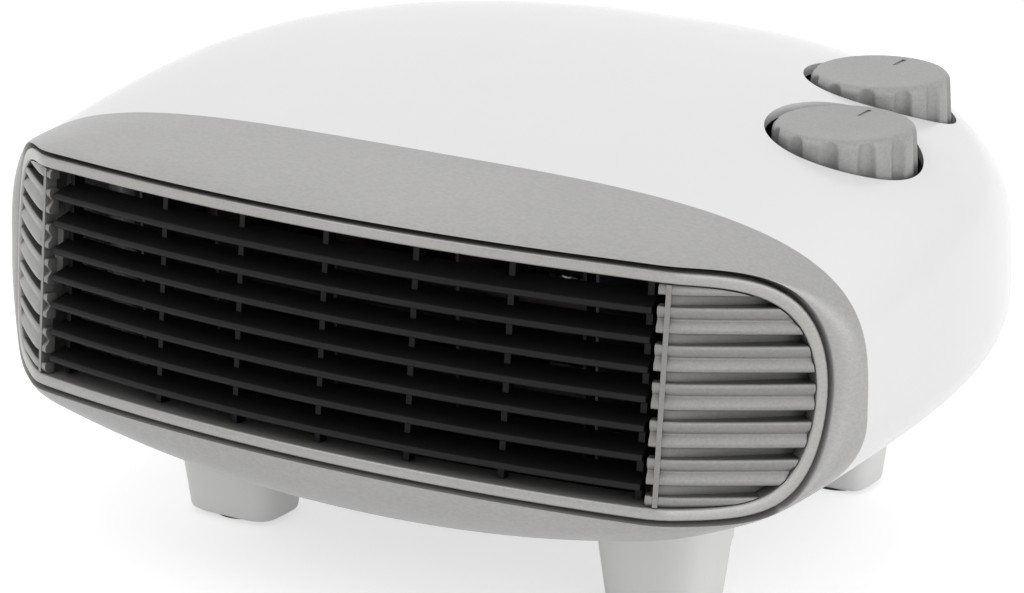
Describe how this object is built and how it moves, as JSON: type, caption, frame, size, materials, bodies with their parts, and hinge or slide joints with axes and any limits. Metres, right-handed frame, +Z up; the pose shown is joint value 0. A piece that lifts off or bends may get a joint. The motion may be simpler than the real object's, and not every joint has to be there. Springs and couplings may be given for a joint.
{
  "type": "fan heater",
  "caption": "Flat tabletop fan heater with a crowned white housing, a silver bezel round a bowed black outlet grille, louvred ends and fluted rotary knobs.",
  "frame": {"origin": "bottom centre of the bounding box, on the floor under the rubber pads", "axes": "+Z up, X to the right as seen from the front, Y back, the outlet faces -Y"},
  "size_m": [0.26, 0.2266, 0.1268],
  "materials": {
    "white": "glossy",
    "white_rear": "satin",
    "silver": "satin metallic",
    "silver_frame": "satin metallic",
    "silver_louvre": "satin metallic",
    "black": "satin",
    "knob_grey": "satin",
    "foot_grey": "satin",
    "rubber": "matte",
    "screw_steel": "zinc plated",
    "duct_steel": "galvanised",
    "mica": "matte",
    "resistance_wire": "oxidised",
    "cutout_brown": "satin",
    "fuse_metal": "satin",
    "shroud_grey": "satin",
    "lamination": "oiled",
    "bobbin_nylon": "satin",
    "copper_winding": "enamelled copper",
    "bridge_steel": "zinc plated",
    "bronze": "sintered",
    "shaft_steel": "ground",
    "fan_plastic": "satin",
    "phenolic": "satin",
    "ivory": "satin",
    "lead_blue": "satin",
    "gland_black": "matte"
  },
  "bodies": {
    "housing": {"upper_housing": "white", "lower_housing": "white", "front_bezel": "silver", "outlet_frame": "silver_frame", "outlet_grille": "black", "end_louvres": "silver_louvre", "rear_grille": "white_rear", "front_feet": "foot_grey", "rear_feet": "foot_grey", "foot_pads": "rubber", "housing_screws": "screw_steel", "cord_gland": "gland_black", "heat_duct": "duct_steel", "element_boards": "mica", "heating_coil_front": "resistance_wire", "heating_coil_rear": "resistance_wire", "thermal_cutout": "cutout_brown", "thermal_fuse": "fuse_metal", "fan_shroud": "shroud_grey", "motor_core": "lamination", "coil_bobbin": "bobbin_nylon", "motor_coil": "copper_winding", "motor_bridge_front": "bridge_steel", "motor_bridge_rear": "bridge_steel", "bearing_front": "bronze", "bearing_rear": "bronze", "motor_screws": "screw_steel", "thermostat_body": "phenolic", "selector_switch": "ivory", "terminal_block": "ivory", "internal_leads": "lead_blue"},
    "fan_rotor": {"rotor_core": "lamination", "rotor_shaft": "shaft_steel", "fan_impeller": "fan_plastic", "impeller_clip": "shaft_steel"},
    "thermostat_control": {"thermostat_knob": "knob_grey", "thermostat_spindle": "shaft_steel"},
    "selector_control": {"selector_knob": "knob_grey", "selector_spindle": "shaft_steel"}
  },
  "joints": [
    {"name": "fan_spin", "type": "hinge", "parent": "housing", "child": "fan_rotor", "pos_m": [0, 0.05443, 0.0719], "axis": [0, 1, 0], "continuous": true},
    {"name": "thermostat_turn", "type": "hinge", "parent": "housing", "child": "thermostat_control", "pos_m": [0.09282, -0.00564, 0.1065], "axis": [0, 0, -1], "range_deg": [0, 300]},
    {"name": "selector_turn", "type": "hinge", "parent": "housing", "child": "selector_control", "pos_m": [0.08158, 0.0369, 0.1087], "axis": [0, 0, -1], "range_deg": [0, 270]}
  ]
}
